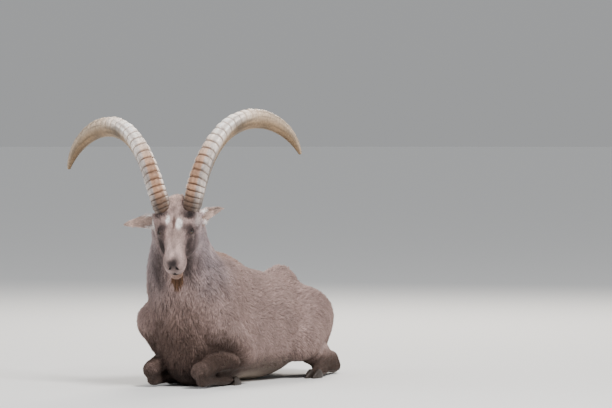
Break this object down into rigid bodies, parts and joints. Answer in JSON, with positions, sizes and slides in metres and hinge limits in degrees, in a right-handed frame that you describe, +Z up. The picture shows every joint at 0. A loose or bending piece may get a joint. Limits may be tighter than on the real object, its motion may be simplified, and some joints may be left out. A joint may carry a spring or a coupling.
{
  "type": "alpine ibex, adult male, lying",
  "caption": "Life-size adult male alpine ibex lying on its chest with legs folded, head raised and turned to its left, with long ridged horns.",
  "frame": {"origin": "middle of the footprint of the bounding box, on the floor", "axes": "+Z up, the animal faces -Y, +X is to the animal's left"},
  "size_m": [0.7458, 1.191, 0.9373],
  "materials": {
    "coat": "short dense fur, grey-brown",
    "horn": "dry ridged horn, grey-tan",
    "hoof": "dark horn",
    "eye": "wet amber-brown eye"
  },
  "bodies": {
    "root": {"head": "coat", "neck": "coat", "upper_arm_left": "coat", "thigh_left": "coat", "upper_arm_right": "coat", "thigh_right": "coat", "torso": "coat", "tail": "coat", "cannon_front_left": "coat", "forearm_left": "coat", "cannon_hind_left": "coat", "shank_left": "coat", "hoof_front_left_outer": "hoof", "hoof_front_left_inner": "hoof", "hoof_hind_left_outer": "hoof", "hoof_hind_left_inner": "hoof", "cannon_front_right": "coat", "forearm_right": "coat", "cannon_hind_right": "coat", "shank_right": "coat", "hoof_front_right_outer": "hoof", "hoof_front_right_inner": "hoof", "hoof_hind_right_outer": "hoof", "hoof_hind_right_inner": "hoof", "horn_left": "horn", "ear_left": "coat", "eye_left": "eye", "horn_right": "horn", "ear_right": "coat", "eye_right": "eye"}
  },
  "joints": []
}
